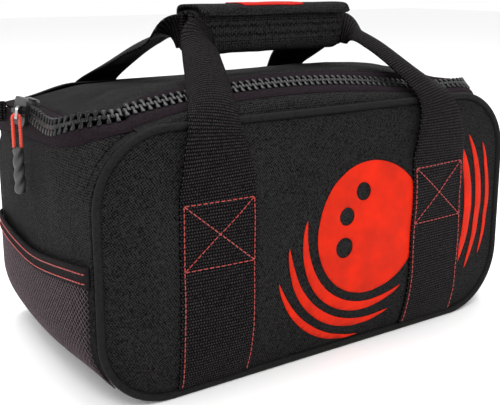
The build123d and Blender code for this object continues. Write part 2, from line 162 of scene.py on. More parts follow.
def grid_faces(rows, columns, closed=False, flip=False, caps=False):
    """Quads of a grid of points kept row by row; closed joins the last column to the first."""
    faces = []
    for i in range(rows - 1):
        for j in range(columns if closed else columns - 1):
            k = (j + 1) % columns
            faces.append((i * columns + j, i * columns + k, (i + 1) * columns + k, (i + 1) * columns + j))
    if caps:
        faces += [tuple(range(columns))[::-1], tuple(range((rows - 1) * columns, rows * columns))]
    return [face[::-1] for face in faces] if flip else faces


def surface(name, rows, columns, at, material, closed=False, flip=False, caps=False):
    """A grid of points, or a tube if closed: at(i, j) gives a point in mm and its UV."""
    points, uvs = zip(*(at(i, j) for i in range(rows) for j in range(columns)))
    return mesh_piece(name, points, grid_faces(rows, columns, closed, flip, caps), uvs, material)


def apply_modifiers(obj):
    bpy.context.view_layer.update()
    made = bpy.data.meshes.new_from_object(obj.evaluated_get(bpy.context.evaluated_depsgraph_get()))
    obj.modifiers.clear()
    obj.data = made
    return obj


def thicken(obj, thickness, offset=-1.0):
    """Gives a surface a thickness in mm; offset -1 grows it inwards and 1 outwards."""
    solid = obj.modifiers.new("thickness", "SOLIDIFY")
    solid.thickness = thickness * MM
    solid.offset = offset
    return apply_modifiers(obj)


def box_uv(obj):
    """UVs in metres, each face seen along its main axis, so that a weave has its real scale."""
    mesh = obj.data
    layer = mesh.uv_layers.get("weave") or mesh.uv_layers.new(name="weave")
    co = np.empty(len(mesh.vertices) * 3)
    mesh.vertices.foreach_get("co", co)
    co = co.reshape(-1, 3)
    uv = np.empty((len(mesh.loops), 2))
    for face in mesh.polygons:
        axis = int(np.argmax(np.abs(face.normal)))
        keep = [k for k in range(3) if k != axis]
        loops = list(face.loop_indices)
        uv[loops] = co[list(face.vertices)][:, keep]
    layer.data.foreach_set("uv", uv.ravel())


def soften(name, nodes, voxel, move, material, rounds=6):
    """A soft piece remeshed from CAD solids, its points smoothed and then moved by move(points)."""
    joined = bmesh.new()
    for node in nodes:
        joined.from_mesh(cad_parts[node].data)
    mesh = bpy.data.meshes.new(name)
    joined.to_mesh(mesh)
    joined.free()
    obj = new_object(name, mesh)
    remesh = obj.modifiers.new("remesh", "REMESH")
    remesh.mode = "VOXEL"
    remesh.voxel_size = voxel * MM
    soft = obj.modifiers.new("smooth", "SMOOTH")
    soft.factor = 0.5
    soft.iterations = rounds
    apply_modifiers(obj)
    set_vertices(obj, move(mesh_points(obj.data)))
    coat(obj, material)
    smooth(obj)
    box_uv(obj)
    return obj


def mesh_points(mesh):
    """The points of a mesh, in mm."""
    co = np.empty(len(mesh.vertices) * 3)
    mesh.vertices.foreach_get("co", co)
    return co.reshape(-1, 3) / MM


def set_vertices(obj, points):
    obj.data.vertices.foreach_set("co", (points * MM).ravel())
    obj.data.update()


def place(obj, body, slot, *nodes):
    """Rides a finished piece on its body and hides the CAD nodes it stands for."""
    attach(obj, body)
    if nodes:
        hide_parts(*nodes)
    return obj


# ---------------------------------------------------------------- materials
class Nodes:
    """A material with a Principled shader, and short calls that add nodes to it."""

    def __init__(self, name, colour, rough, **sockets):
        self.material = bpy.data.materials.new(name)
        self.material.use_nodes = True
        self.tree = self.material.node_tree
        self.shader = self.tree.nodes["Principled BSDF"]
        self.shader.inputs["Base Color"].default_value = (*colour, 1)
        self.shader.inputs["Roughness"].default_value = rough
        for socket, value in sockets.items():
            self.shader.inputs[socket.replace("_", " ")].default_value = value

    def link(self, value, socket):
        if isinstance(value, bpy.types.NodeSocket):
            self.tree.links.new(value, socket)
        else:
            socket.default_value = value

    def math(self, operation, a, b=0.0, c=0.0):
        node = self.tree.nodes.new("ShaderNodeMath")
        node.operation = operation
        for value, socket in zip((a, b, c), node.inputs):
            self.link(value, socket)
        return node.outputs[0]

    def times(self, a, b):
        return self.math("MULTIPLY", a, b)

    def scaled(self, value, factor, shift):
        return self.math("MULTIPLY_ADD", value, factor, shift)

    def sine(self, value):
        return self.math("SINE", value)

    def uv(self):
        node = self.tree.nodes.new("ShaderNodeUVMap")
        node.uv_map = "weave"
        split = self.tree.nodes.new("ShaderNodeSeparateXYZ")
        self.tree.links.new(node.outputs[0], split.inputs[0])
        return split.outputs[0], split.outputs[1]

    def noise(self, scale, detail=3.0, rough=0.55):
        """Noise over the object's own coordinates; scale is in waves per metre."""
        where = self.tree.nodes.new("ShaderNodeTexCoord")
        node = self.tree.nodes.new("ShaderNodeTexNoise")
        node.inputs["Scale"].default_value = scale
        node.inputs["Detail"].default_value = detail
        node.inputs["Roughness"].default_value = rough
        self.tree.links.new(where.outputs["Object"], node.inputs["Vector"])
        return node.outputs["Fac"]

    def tint(self, value, span, colour, contrast):
        """Runs from a dark to a light shade of one colour as value runs over span."""
        node = self.tree.nodes.new("ShaderNodeValToRGB")
        for k in (0, 1):
            stop = node.color_ramp.elements[k]
            stop.position = span[k]
            stop.color = (*(c * contrast[k] for c in colour), 1)
        self.link(value, node.inputs[0])
        self.link(node.outputs[0], self.shader.inputs["Base Color"])

    def rough(self, value):
        self.link(value, self.shader.inputs["Roughness"])

    def bump(self, height, strength, distance):
        """distance is how deep the relief is, in mm."""
        node = self.tree.nodes.new("ShaderNodeBump")
        node.inputs["Strength"].default_value = strength
        node.inputs["Distance"].default_value = distance * MM
        self.link(height, node.inputs["Height"])
        self.tree.links.new(node.outputs[0], self.shader.inputs["Normal"])


def woven(name, colour, pitch, depth, contrast, diagonal=0.0, rough=0.78, span=(0.1, 0.95)):
    """Woven cloth: threads cross over and under each other at a pitch in mm; the raised threads are painted
    lighter and the hollows darker, a painted shade of the weave.
    """
    made = Nodes(name, colour, rough, Specular_IOR_Level=0.03)
    u, v = made.uv()
    turn = 1 / (pitch * MM) * pi
    along = made.times(made.math("ADD", u, made.times(v, diagonal)), turn)
    over = made.times(made.math("SUBTRACT", v, made.times(u, diagonal)), turn)
    a, b = made.sine(along), made.sine(over)
    warp = made.math("GREATER_THAN", made.times(a, b), 0.0)
    weft = made.math("SUBTRACT", 1.0, warp)
    height = made.math(
        "ADD",
        made.times(made.math("ABSOLUTE", a), warp),
        made.times(made.math("ABSOLUTE", b), weft),
    )
    fleck = made.noise(620.0, 2.0, 0.75)
    cloud = made.noise(14.0, 4.0)
    spark = made.scaled(fleck, 4.4, -1.7)
    # painted shade: raised threads coloured lighter and the hollows between them darker, mixed with random
    # flecks and broad mottling
    painted_shading_and_mottle = made.scaled(height, 0.7, made.times(spark, 0.5))
    painted_shading_and_mottle = made.times(painted_shading_and_mottle, made.scaled(cloud, 0.6, 0.7))
    made.tint(painted_shading_and_mottle, span, colour, contrast)
    made.rough(made.scaled(fleck, -0.3, rough + 0.14))
    made.bump(made.scaled(fleck, 0.9, height), 0.8, depth)
    return made.material


def ribbed(name, colour, pitch, rough=0.6):
    """Webbing: rounded ribs across the strap, each with fine warp threads along it; the rib tops carry a
    painted highlight.
    """
    made = Nodes(name, colour, rough, Specular_IOR_Level=0.05)
    u, v = made.uv()
    wave = made.sine(made.times(v, pi / (pitch * MM)))
    rib = made.math("ABSOLUTE", wave)
    warp = made.math("ADD", made.times(u, pi / (0.9 * pitch * MM)), made.times(wave, 0.6))
    warp = made.math("ABSOLUTE", made.sine(warp))
    height = made.scaled(warp, 0.6, rib)
    fleck = made.noise(700.0, 2.0, 0.75)
    # painted highlight: the tops of the ribs and warp threads are coloured lighter, times random flecks
    painted_shading_and_mottle = made.times(made.times(rib, warp), made.scaled(fleck, 2.4, -0.4))
    made.tint(painted_shading_and_mottle, (0.25, 0.95), colour, (0.05, 16.0))
    made.rough(made.scaled(fleck, -0.3, rough + 0.15))
    made.bump(height, 1.0, 0.7)
    return made.material


def plastic(name, colour, rough, grain=0.15, **sockets):
    """Moulded plastic or painted metal with a fine grain and uneven gloss."""
    made = Nodes(name, colour, rough, **sockets)
    fine = made.noise(1800.0, 3.0)
    broad = made.noise(60.0, 3.0)
    made.rough(made.scaled(broad, 0.3, rough - 0.12))
    made.tint(broad, (0.2, 0.85), colour, (0.75, 1.3))
    made.bump(fine, 0.25, grain)
    return made.material


def twisted(name, colour, pitch, turns, rough=0.7):
    """Braid or thread: strands that wind round, told by UV across and along; the raised strands are painted
    lighter, a painted shade of the twist.
    """
    made = Nodes(name, colour, rough, Sheen_Weight=0.3, Sheen_Roughness=0.4)
    u, v = made.uv()
    one = made.sine(made.times(made.math("ADD", v, u), turns / (pitch * MM)))
    two = made.sine(made.times(made.math("SUBTRACT", v, u), turns / (pitch * MM)))
    height = made.times(one, two)
    fleck = made.noise(1500.0, 2.0)
    # painted shade: the raised strands are coloured lighter, plus random flecks
    painted_shading_and_mottle = made.scaled(height, 0.3, fleck)
    made.tint(painted_shading_and_mottle, (0.15, 0.9), colour, (0.45, 1.25))
    made.bump(height, 0.6, 0.2)
    return made.material


DEEP = (0.3, 1.05)  # most of these threads stay dark
cloth = {
    "shell": woven("ballistic_weave", (0.0022, 0.0021, 0.0021), 1.9, 0.7, (0.05, 10.0), 0.55, span=DEEP),
    "gusset": woven("plain_weave", (0.0026, 0.0025, 0.0025), 1.9, 0.5, (0.05, 8.5), span=DEEP),
    "facing": woven("tape_weave", (0.0088, 0.0062, 0.0078), 0.9, 0.2, (0.5, 1.8), diagonal=1.0),
    "piping": woven("piping_weave", (0.0075, 0.0073, 0.0073), 0.9, 0.15, (0.6, 1.8), rough=0.5),
    "wrap": woven("wrap_weave", (0.0024, 0.0023, 0.0024), 1.9, 0.6, (0.05, 8.5), span=DEEP),
    "binding": woven("binding_weave", (0.0080, 0.0066, 0.0072), 0.8, 0.2, (0.6, 1.8)),
    "lining": woven("lining_weave", (0.035, 0.035, 0.038), 0.6, 0.08, (0.8, 1.2), rough=0.6),
    "foam": woven("foam_skin", (0.08, 0.08, 0.085), 2.0, 0.2, (0.8, 1.2), rough=0.9),
    "hook": woven("hook_pile", (0.010, 0.010, 0.010), 0.7, 0.5, (0.3, 1.8), rough=0.9),
    "label": woven("label_weave", (0.40, 0.010, 0.006), 0.45, 0.1, (0.7, 1.15), rough=0.6),
    "webbing": ribbed("webbing_ribs", (0.0021, 0.0017, 0.0019), 2.4),
    "net": woven("net_yarn", (0.075, 0.058, 0.064), 0.5, 0.1, (0.4, 1.6), rough=0.5),
    "print": plastic("print_film", (0.48, 0.012, 0.001), 0.65, grain=0.1, Specular_IOR_Level=0.1),
    "teeth": plastic("teeth_plastic", (0.0045, 0.0045, 0.0048), 0.24, grain=0.04, Specular_IOR_Level=0.2),
    "slider": plastic("gunmetal", (0.0045, 0.0045, 0.005), 0.34, grain=0.03, Specular_IOR_Level=0.3),
    "tab": plastic("worn_steel", (0.42, 0.42, 0.44), 0.28, grain=0.03, Metallic=1.0),
    "moulded": plastic("moulded_rubber", (0.026, 0.026, 0.026), 0.5, grain=0.12),
    "board": plastic("stiff_board", (0.02, 0.02, 0.02), 0.7),
    "thread": twisted("thread_twist", (0.45, 0.022, 0.016), 1.0, 2.0, rough=0.55),
    "cord": twisted("cord_braid", (0.66, 0.030, 0.004), 1.3, 2.2, rough=0.6),
}


# ---------------------------------------------------------------- front and back panels
def panel_share(x, z):
    """0 in the middle of a panel and 1 on its seam."""
    a, b = HALF - PANEL_INSET, MID_Z - PANEL_INSET
    return min(gauge(x, z - MID_Z, a, b, CORNER - PANEL_INSET), 1.0)


def crown_depth(x, z):
    """How far the padded front stands out from its seam at a place."""
    return 3.0 + (CROWN - 3.0) * (1 - panel_share(x, z) ** 2.3) ** 0.72


def panel_relief(x, z, seed):
    """Soft unevenness of the padded front, less at its edge."""
    s = panel_share(x, z)
    broad = ripple(x / 60, z / 45, seed * 3.1) * 1.6
    fine = ripple(x / 17, z / 14, seed * 7.7) * 0.45
    around = atan2(z - MID_Z, x) * 26
    pucker = sin(around + 2 * ripple(x / 30, z / 30, seed)) * 0.35 * ease(0.72, 0.95, s)
    return (broad + fine) * (1 - s**6) + pucker * (1 - ease(0.96, 1.0, s))


def front_y(x, z, lift=0.0, seed=1):
    """The front panel's outer surface at a place, in mm."""
    return SEAM_Y - crown_depth(x, z) - panel_relief(x, z, seed) - lift


def padded_panel(name, seed, facing):
    """The skin of a padded panel; facing is -1 for the front and 1 for the back."""
    a, b, r = HALF - PANEL_INSET + 1, MID_Z - PANEL_INSET + 1, CORNER - PANEL_INSET + 1
    bend = [a - r + r * sin(radians(t)) for t in range(6, 91, 6)]
    columns = [-x for x in reversed(bend)] + list(np.linspace(-(a - r), a - r, 73)) + bend
    rows = 60

    def at(i, j):
        x, t = columns[i], 2 * j / rows - 1
        over = max(abs(x) - (a - r), 0.0)
        reach = b - r + sqrt(max(r * r - over * over, 0.0))
        z = MID_Z + reach * sin(pi / 2 * t) * 0.35 + reach * t * 0.65
        return (x, front_y(x, z, seed=seed) * -facing, z), (x, z)

    obj = thicken(surface(name, len(columns), rows + 1, at, cloth["shell"], flip=facing < 0), 2.2)
    return obj


place(padded_panel("front_skin", 1, -1), "bag", "shell", "front_panel", "front_foam")
place(padded_panel("back_skin", 4, 1), "bag", "shell", "back_panel", "back_foam")


# ---------------------------------------------------------------- ends and top strip
ZIP_END_X, ZIP_FRONT_Y, ZIP_BACK_Y, ZIP_ARC = 202.5, -84.0, 95.0, 38.0
ZIP_BACK_Z, ZIP_CORNER_Z, ZIP_FRONT_Z = 200.0, 206.0, 211.5
END_RUN = ZIP_BACK_Y - (ZIP_FRONT_Y + ZIP_ARC)
ARC_RUN = ZIP_ARC * tau / 4
FRONT_HALF = ZIP_END_X - ZIP_ARC
ZIP_HALF = END_RUN + ARC_RUN + FRONT_HALF
SEAM_FRONT_Y = -98.6


def swell(y, z):
    """How far an end panel bulges at a place."""
    across = np.clip(1 - (y / 110) ** 2, 0, 1) ** 0.7
    up = np.sin(pi * np.clip((z - 22) / (205 - 22), 0, 1)) ** 0.7
    return 5.5 * across * up


def zip_rise(x):
    """How much the front's top climbs towards its middle."""
    return np.clip(1 - ((x + 30) / 150) ** 2, 0, 1)


def front_seam_z(x):
    """Height of the seam under the zip, along the front."""
    return 206.8 + 11.5 * float(zip_rise(x)) - 4.0 * float(ease(115, FRONT_HALF, abs(x)))


def end_seam_z(y):
    """Height of the seam under the zip, along an end."""
    return 178.5 + (83 - y) * 0.073


def corner_in(z):
    """How far the bag's outline has come in from its end at a height."""
    over = max(CORNER - z, z - (HEIGHT - CORNER), 0.0)
    return CORNER - sqrt(max(CORNER**2 - over**2, 0))


def end_drop(x):
    """How far the lid falls towards its ends."""
    return 10.5 * ease(135, 190, np.abs(x))


def outline_top(x):
    """Height of the bag's outline over a place along it."""
    return HEIGHT - CORNER + sqrt(max(CORNER**2 - max(abs(x) - HALF + CORNER, 0.0) ** 2, 0))


def end_top(y):
    """The end panel's free upper edge at depth y: (x, z)."""
    front_y = ZIP_FRONT_Y + ZIP_ARC
    wall = 202.0 + float(swell(y, 185.0))
    if y > ZIP_BACK_Y:
        t = float(ease(ZIP_BACK_Y, SEAM_Y * -1 - 1, y))
        return wall * (1 - t) + 189.5 * t, end_seam_z(y) * (1 - t) + 186.0 * t
    if y > front_y:
        return wall, end_seam_z(y)
    if y > SEAM_FRONT_Y:
        n = (front_y - y) / (front_y - SEAM_FRONT_Y)
        c = sqrt(max(1 - n * n, 0))
        climb = n**2.4 * (front_seam_z(FRONT_HALF) - end_seam_z(SEAM_FRONT_Y))
        return FRONT_HALF + (wall - FRONT_HALF) * c, end_seam_z(y) + climb
    t = (SEAM_FRONT_Y - y) / (SEAM_FRONT_Y - SEAM_Y - 1)
    return FRONT_HALF, front_seam_z(FRONT_HALF) * (1 - t) + (outline_top(FRONT_HALF) - 1) * t


SHOULDER_Z = 150  # above it an end leans in to its top edge


def end_column(side, y):
    """Points up an end at depth y, from the base round the lower corner and up to the zip's facing."""
    x_top, z_top = end_top(y)
    heights = [CORNER * (1 - cos(pi / 2 * k / 10)) for k in range(10)]
    heights += list(np.linspace(CORNER, SHOULDER_Z, 26))
    heights += [SHOULDER_Z + (z_top - SHOULDER_Z) * (1 - (1 - k / 16) ** 1.6) for k in range(1, 17)]
    points = []
    for z in heights:
        x = HALF - 0.5 + float(swell(y, z))
        if z < CORNER:
            x -= corner_in(z)
        elif z > SHOULDER_Z:
            share = corner_in(min(z, HEIGHT)) / max(corner_in(min(z_top, HEIGHT)), 1e-6)
            x -= (HALF - 0.5 + float(swell(y, z_top)) - x_top) * share
        soft = ripple(side * 9.1, y / 38, z / 38) * 1.5
        soft += ripple(side * 4.7, y / 13, z / 15) * 0.4
        x += soft * float(ease(8, 30, z) * (1 - ease(95, 106, abs(y))) * (1 - ease(z_top - 12, z_top, z)))
        points.append((side * x, y, z))
    return points


def end_panel(side, name):
    """The fabric of one end; its columns are closer together where its top edge turns."""
    turn = ZIP_FRONT_Y + ZIP_ARC - SEAM_FRONT_Y
    depths = [SEAM_Y + 1 + k * 0.94 for k in range(10)]
    depths += [SEAM_FRONT_Y + turn * (1 - cos(pi / 2 * k / 20)) for k in range(1, 21)]
    depths += list(np.linspace(ZIP_FRONT_Y + ZIP_ARC + 4, -SEAM_Y - 1, 40))
    columns = np.array([end_column(side, y) for y in depths])
    steps = np.linalg.norm(np.diff(columns, axis=1), axis=2)

    def at(i, j):
        return columns[i, j], (depths[i], steps[i, :j].sum())

    obj = thicken(surface(name, *columns.shape[:2], at, cloth["gusset"], flip=side > 0), 2.0)
    return obj


def top_strip():
    """The narrow band on top, between the front piping and the zip's facing."""

    def at(i, j):
        x, t = -FRONT_HALF + 2 * FRONT_HALF * i / 150, j / 10
        low = np.array([x, SEAM_Y + 0.5, outline_top(x) - 1.2])
        high = np.array([x, SEAM_FRONT_Y, front_seam_z(x)])
        close = min(1.0, (FRONT_HALF - abs(x)) / 25)
        push = sin(pi * t) * (1.6 + 0.7 * ripple(x / 14, t, 2)) * close
        return low * (1 - t) + high * t + np.array([0, -0.75, 0.65]) * push, (x, t * 14)

    obj = thicken(surface("top_strip", 151, 11, at, cloth["gusset"], flip=True), 1.6)
    return obj


def rear_strip():
    """The narrow band behind the lid's fold; it follows the outline down round both corners."""

    def at(i, j):
        x, t = -190.5 + 381 * i / 150, j / 10
        low = np.array([x, -SEAM_Y - 0.5, outline_top(x) - 1.2])
        high = np.array([x, FOLD_Y + 1, min(FOLD_Z - float(end_drop(x)), outline_top(x) + 4)])
        push = sin(pi * t) * (0.8 + 0.6 * ripple(x / 14, t, 5))
        return low * (1 - t) + high * t + np.array([0, 0.3, 0.9]) * push, (x, t * 14)

    return thicken(surface("rear_strip", 151, 11, at, cloth["gusset"]), 1.6)


def base_skin():
    """The fabric of the bottom, between the two lower corners."""

    def at(i, j):
        x, y = -144.5 + 289 * i / 120, SEAM_Y + 1 - (SEAM_Y + 1) * 2 * j / 80
        inside = float(ease(0, 12, 144.5 - abs(x)) * ease(0, 10, -SEAM_Y - 1 - abs(y)))
        z = 0.1 + inside * 0.6 * (1 + ripple(x / 26, y / 26, 3))
        return (x, y, z), (x, y)

    return thicken(surface("base_skin", 121, 81, at, cloth["gusset"]), 1.6)


place(end_panel(-1, "left_end_skin"), "bag", "gusset", "left_end_panel")
place(end_panel(1, "right_end_skin"), "bag", "gusset", "right_end_panel")
place(top_strip(), "bag", "gusset", "front_top_strip")
place(rear_strip(), "bag", "gusset", "rear_top_strip")
place(base_skin(), "bag", "gusset", "base_panel")


# ---------------------------------------------------------------- zip
def zip_place(s):
    """Side, stretch and how far along it, for a distance s from the right rear end."""
    side = -1 if s > ZIP_HALF else 1
    d = 2 * ZIP_HALF - s if side < 0 else s
    if d <= END_RUN:
        return side, "end", d / END_RUN
    if d <= END_RUN + ARC_RUN:
        return side, "arc", (d - END_RUN) / ARC_RUN
    return side, "front", (d - END_RUN - ARC_RUN) / (ZIP_END_X - ZIP_ARC)


def sag(s):
    """How far the zip sinks at each front corner."""
    side, _, _ = zip_place(s)
    d = 2 * ZIP_HALF - s if side < 0 else s
    return 5.5 * cos(pi / 2 * min(abs(d - END_RUN + 8) / 48, 1)) ** 2


def zip_frame(s):
    """The zip's middle at s, and the ways along, across towards the lid, and out."""
    side, stretch, t = zip_place(s)
    if stretch == "end":
        point = (ZIP_END_X, ZIP_BACK_Y - t * END_RUN, ZIP_BACK_Z + t * (ZIP_CORNER_Z - ZIP_BACK_Z))
        turn, lean = 0.0, 80.0
    elif stretch == "arc":
        turn, lean = 90 * t, 80 - 50 * t
        c, n = cos(radians(turn)), sin(radians(turn))
        z = ZIP_CORNER_Z + t * (ZIP_FRONT_Z - ZIP_CORNER_Z)
        point = (FRONT_HALF + ZIP_ARC * c, ZIP_FRONT_Y + ZIP_ARC - ZIP_ARC * n, z)
    else:
        x = side * FRONT_HALF * (1 - t)
        point = (FRONT_HALF * (1 - t), ZIP_FRONT_Y, ZIP_FRONT_Z + 13.5 * float(zip_rise(x)))
        turn, lean = 90.0, 30.0
    out = np.array([side * cos(radians(turn)), -sin(radians(turn)), 0])
    up = np.array([0, 0, 1.0])
    across = -out * cos(radians(lean)) + up * sin(radians(lean))
    normal = out * sin(radians(lean)) + up * cos(radians(lean))
    return np.array([side * point[0], point[1], point[2] - sag(s)]), np.cross(normal, across), across, normal


def body_seam(s):
    """The seam under the zip, where its facing meets the ends and the top strip."""
    side, stretch, t = zip_place(s)
    if stretch == "front":
        x = side * FRONT_HALF * (1 - t)
        return np.array([x, SEAM_FRONT_Y, front_seam_z(x)])
    if stretch == "end":
        y = ZIP_BACK_Y - t * END_RUN
    else:
        front_y = ZIP_FRONT_Y + ZIP_ARC
        y = front_y - (front_y - SEAM_FRONT_Y) * sin(radians(90 * t))
    x, z = end_top(y)
    return np.array([side * x, y, z])


LID_HALF, LID_FRONT_Y, LID_Z, LID_ARC = 191.5, -71.5, 212.5, 33.0


def lid_end(y):
    """Half the lid's length at depth y: it narrows to the rear."""
    return LID_HALF * (1 - 0.045 * ease(10, 95, y))


def lid_plane(y):
    """Height of the lid's flat seam at depth y: it falls to the fold."""
    return LID_Z + (FOLD_Y - y) * 0.065


def lid_arch(x, y):
    """How far the lid's seam stands over its plane: it arches along the front."""
    return (1 - ease(-71.0, 40.0, y)) * (-5.5 + 12 * np.clip(1 - ((x + 15) / 150) ** 2, 0, 1))


def lid_edge_z(x, y):
    """Height of the lid's seam: it arches along the front and falls to the fold."""
    return lid_plane(y) + lid_arch(x, y) - end_drop(x)


def lid_seam(s):
    """The seam over the zip, where its facing meets the lid."""
    side, stretch, t = zip_place(s)
    front_y = LID_FRONT_Y + LID_ARC
    if stretch == "end":
        y = ZIP_BACK_Y - t * (ZIP_BACK_Y - front_y)
        x = side * float(lid_end(y))
    elif stretch == "arc":
        x = side * (LID_HALF - LID_ARC + LID_ARC * cos(radians(90 * t)))
        y = front_y - LID_ARC * sin(radians(90 * t))
    else:
        x, y = side * (LID_HALF - LID_ARC) * (1 - t), LID_FRONT_Y
    return np.array([x, y, float(lid_edge_z(x, y)) + 0.5])


def facing(name, seam, edge, bulge):
    """A band of facing from a seam to the teeth; edge is its end across the zip."""
    count, across = 260, 6
    hem = 1 if edge > 0 else 0  # the lid's facing has a sewn edge inside the lid

    def at(i, j):
        s, t = 2 * ZIP_HALF * i / count, (j - hem) / across
        middle, _, over, normal = zip_frame(s)
        low, high = seam(s), middle + over * edge
        if t < 0:
            inward = -normal * (1, 1, 0) / np.linalg.norm(normal[:2])
            return low + inward * 6 + np.array([0, 0, -2.5]), (s, -6)
        start = 23 if middle[0] < 0 else ZIP_BACK_Y - 16  # past the chain the two facings meet
        shut = float(ease(start, start + 14, middle[1]))
        high = high - (over * edge * 0.95 + normal * 1.5 * float(np.sign(edge))) * shut
        point = low * (1 - t) + high * t + normal * bulge * sin(pi * t)
        return point, (s, t * float(np.linalg.norm(high - low)))

    obj = surface(name, count + 1, across + 1 + hem, at, cloth["facing"], flip=edge > 0)
    return thicken(obj, 1.3, 0.0)


place(facing("zip_facing_body", body_seam, -5.5, 1.2), "bag", "tape", "zip_tape_body")
place(facing("zip_facing_lid", lid_seam, 5.5, 1.6), "lid", "tape", "zip_tape_lid")


def corner_gusset(side):
    """The folded cloth behind an end of the zip, between the facings and the rear strip."""
    s = 0.5 if side > 0 else 2 * ZIP_HALF - 0.5
    middle, _, _, normal = zip_frame(s)
    low, high = body_seam(s), lid_seam(s) + np.array([0, 0, -2.5])
    near = np.array([side * 189.5, -SEAM_Y - 1, 186])
    far = np.array([side * 182, FOLD_Y + 4, outline_top(182) + 3])

    def at(i, j):
        u, t = i / 16, j / 20
        start = low * (1 - t) ** 2 + 2 * t * (1 - t) * (middle + normal * 1.5) + high * t * t
        bulge = np.array([side * 1.5, 0.5, 0.8]) * sin(pi * u) * sin(pi * t)
        return start * (1 - u) + (near * (1 - t) + far * t) * u + bulge, (u * 16, t * 24)

    name = "left_corner_gusset" if side < 0 else "right_corner_gusset"
    return thicken(surface(name, 17, 21, at, cloth["gusset"], flip=side < 0), 1.2, 0.0)


for side in (-1, 1):
    place(corner_gusset(side), "bag", "gusset")


def seam_cord(name, seam, radius):
    """A rolled edge along a seam."""
    count, sides = 260, 8

    def at(i, j):
        s, angle = 2 * ZIP_HALF * i / count, tau * j / sides
        _, _, over, normal = zip_frame(s)
        return seam(s) + radius * (over * cos(angle) + normal * sin(angle)), (radius * angle, s)

    return surface(name, count + 1, sides, at, cloth["facing"], closed=True)


place(seam_cord("zip_seam_body", body_seam, 1.0), "bag", "tape")
place(seam_cord("zip_seam_lid", lid_seam, 1.5), "lid", "tape")


def tooth_shape():
    """One moulded tooth, 0 across at the zip's middle, its head towards plus."""
    profile = [(-6.6, 1.5), (-5.8, 1.9), (-3.6, 1.9), (-2.6, 1.15)]
    profile += [(-1.5, 1.2), (-0.6, 1.8), (0.9, 1.75), (1.8, 1.1)]
    levels = [(-1.4, 0.8), (-0.9, 1.0), (1.1, 1.0), (1.8, 0.88), (2.1, 0.6)]
    points = []
    for height, share in levels:
        loop = [(u, v * share) for u, v in profile] + [(u, -v * share) for u, v in reversed(profile)]
        points += [(u * (0.9 + 0.1 * share), v, height) for u, v in loop]
    return np.array(points), grid_faces(len(levels), 2 * len(profile), closed=True, caps=True)


def chain(name, side, start):
    """All the teeth of one side; side -1 is the body's and 1 the lid's."""
    shape, faces = tooth_shape()
    pitch = 6.0
    first, last = 19.0 + start, 2 * ZIP_HALF - 70.0  # from near the right end up to the slider
    points, all_faces = [], []
    for k in range(int((last - first) / pitch)):
        middle, along, over, normal = zip_frame(first + k * pitch)
        base = len(points)
        for u, v, w in shape:
            points.append(middle + over * (-side * u) + along * v + normal * w)
        all_faces += [tuple(base + i for i in (f if side < 0 else f[::-1])) for f in faces]
    obj = mesh_piece(name, points, all_faces, None, cloth["teeth"], rounded=False)
    bevel(obj, 0.28, 2)
    apply_modifiers(obj)
    smooth(obj)
    box_uv(obj)
    return obj


place(chain("teeth_body", -1, 0.0), "bag", "teeth", "zip_chain_body")
place(chain("teeth_lid", 1, 3.0), "lid", "teeth", "zip_chain_lid")


# ---------------------------------------------------------------- lid
def shape_lid(points):
    """Bends the lid's softened block to its seam, with the wrinkles of its upper side."""
    x, y, z = points.T.copy()
    z = z + lid_arch(x, y) - end_drop(x)
    top = ease(-5.0, 0.0, z + end_drop(x) - lid_plane(y))
    soft = rumple(points * (1, 1, 0.2), 55, 6) * 2.2 + rumple(points * (1, 1, 0.2), 20, 7) * 0.6
    for at_y, slope, x0, x1, depth, width in (
        (-56, 0.05, -165, -60, 3.0, 5.0),
        (-42, -0.10, -150, -20, 2.4, 7.0),
        (-50, 0.04, 10, 120, 2.0, 6.0),
        (-20, 0.25, -180, -110, 2.2, 8.0),
    ):
        near = np.exp(-(((y - at_y - slope * (x - x0)) / width) ** 2))
        soft = soft - depth * near * ease(x0, x0 + 30, x) * (1 - ease(x1 - 30, x1, x))
    inside = np.clip(1 - (x / 192) ** 6, 0, 1) * np.clip(1 - ((y - 13) / 84) ** 6, 0, 1)
    x = x * lid_end(y) / LID_HALF
    lower = 2.0 + 5.0 * (1 - ease(-70, 60, x))
    return np.stack([x, y, z + (soft - lower) * inside * top], 1)


def puff(obj, pressure, frames, cap):
    """Swells a closed piece with a short cloth simulation; no point moves further than cap mm."""
    before = mesh_points(obj.data)
    made = obj.modifiers.new("cloth", "CLOTH")
    made.settings.quality = 5
    made.settings.mass = 0.25
    made.settings.use_pressure = True
    made.settings.uniform_pressure_force = pressure
    made.settings.effector_weights.gravity = 0
    made.point_cache.frame_end = frames
    scene = bpy.context.scene
    for k in range(1, frames + 1):
        scene.frame_set(k)
    bpy.context.view_layer.update()
    swollen = obj.evaluated_get(bpy.context.evaluated_depsgraph_get()).to_mesh()
    after = mesh_points(swollen)
    obj.modifiers.clear()
    move = after - before
    length = np.linalg.norm(move, axis=1, keepdims=True)
    set_vertices(obj, before + move * np.minimum(1, cap / np.maximum(length, 1e-6)))
    scene.frame_set(1)


lid = soften("lid_skin", ["lid_panel", "lid_foam"], 3.2, shape_lid, cloth["gusset"], rounds=10)
puff(lid, 3.0, 8, 3.0)
box_uv(lid)
place(lid, "lid", "gusset", "lid_panel", "lid_foam")


def lid_fold():
    """The strip of fabric that the lid folds on."""

    def at(i, j):
        x, y = -188 + 376 * i / 80, 102 - 16 * j / 14
        z = FOLD_Z + (FOLD_Y - y) * 0.09 + 1.0 - 1.4 * np.exp(-(((y - FOLD_Y) / 2.2) ** 2))
        if y > FOLD_Y + 1:
            z = 212.6 - (y - FOLD_Y) * 0.34
        return (x * 0.97, y, z - float(end_drop(x * 0.97))), (x, y)

    return thicken(surface("lid_fold", 81, 15, at, cloth["gusset"], flip=True), 1.0)


